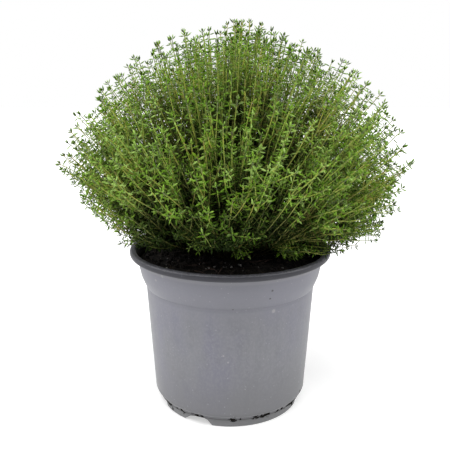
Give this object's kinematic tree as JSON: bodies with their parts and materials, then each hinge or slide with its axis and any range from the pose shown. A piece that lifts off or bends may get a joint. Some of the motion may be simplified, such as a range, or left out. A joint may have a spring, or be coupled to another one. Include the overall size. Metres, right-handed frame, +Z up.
{
  "type": "potted thyme",
  "caption": "Round bushy thyme plant with slender leafy stems, growing in dark soil in a grey moulded nursery pot that stands on its foot ring.",
  "frame": {"origin": "centre of the underside of the pot's foot ring, on the pot's axis", "axes": "+Z up along the pot's axis; the pictured front faces -Y; +X to the right seen from the front"},
  "size_m": [0.2804, 0.2679, 0.3234],
  "materials": {
    "pot": "matte mid-grey recycled polypropylene with faint streaks, pale specks and dirt at the foot; charcoal lip, black inside",
    "soil": "near-black moist potting mix with white perlite grains and brown twigs",
    "thyme": "small matte green leaves on yellow-green stems that turn brown and woody towards the foot"
  },
  "bodies": {
    "root": {"pot": "pot", "potting_soil": "soil", "thyme_spray_01": "thyme", "thyme_spray_02": "thyme", "thyme_spray_03": "thyme", "thyme_spray_04": "thyme", "thyme_spray_05": "thyme", "thyme_spray_06": "thyme", "thyme_spray_07": "thyme", "thyme_spray_08": "thyme", "thyme_spray_09": "thyme", "thyme_spray_10": "thyme", "thyme_spray_11": "thyme", "thyme_spray_12": "thyme", "thyme_spray_13": "thyme", "thyme_spray_14": "thyme", "thyme_spray_15": "thyme", "thyme_spray_16": "thyme", "thyme_spray_17": "thyme", "thyme_spray_18": "thyme", "thyme_spray_19": "thyme", "thyme_spray_20": "thyme", "thyme_spray_21": "thyme", "thyme_spray_22": "thyme", "thyme_spray_23": "thyme", "thyme_spray_24": "thyme", "thyme_spray_25": "thyme", "thyme_spray_26": "thyme", "thyme_spray_27": "thyme", "thyme_spray_28": "thyme", "thyme_spray_29": "thyme", "thyme_spray_30": "thyme", "thyme_spray_31": "thyme", "thyme_spray_32": "thyme", "thyme_spray_33": "thyme", "thyme_spray_34": "thyme", "thyme_spray_35": "thyme", "thyme_spray_36": "thyme", "thyme_spray_37": "thyme", "thyme_spray_38": "thyme"}
  },
  "joints": []
}
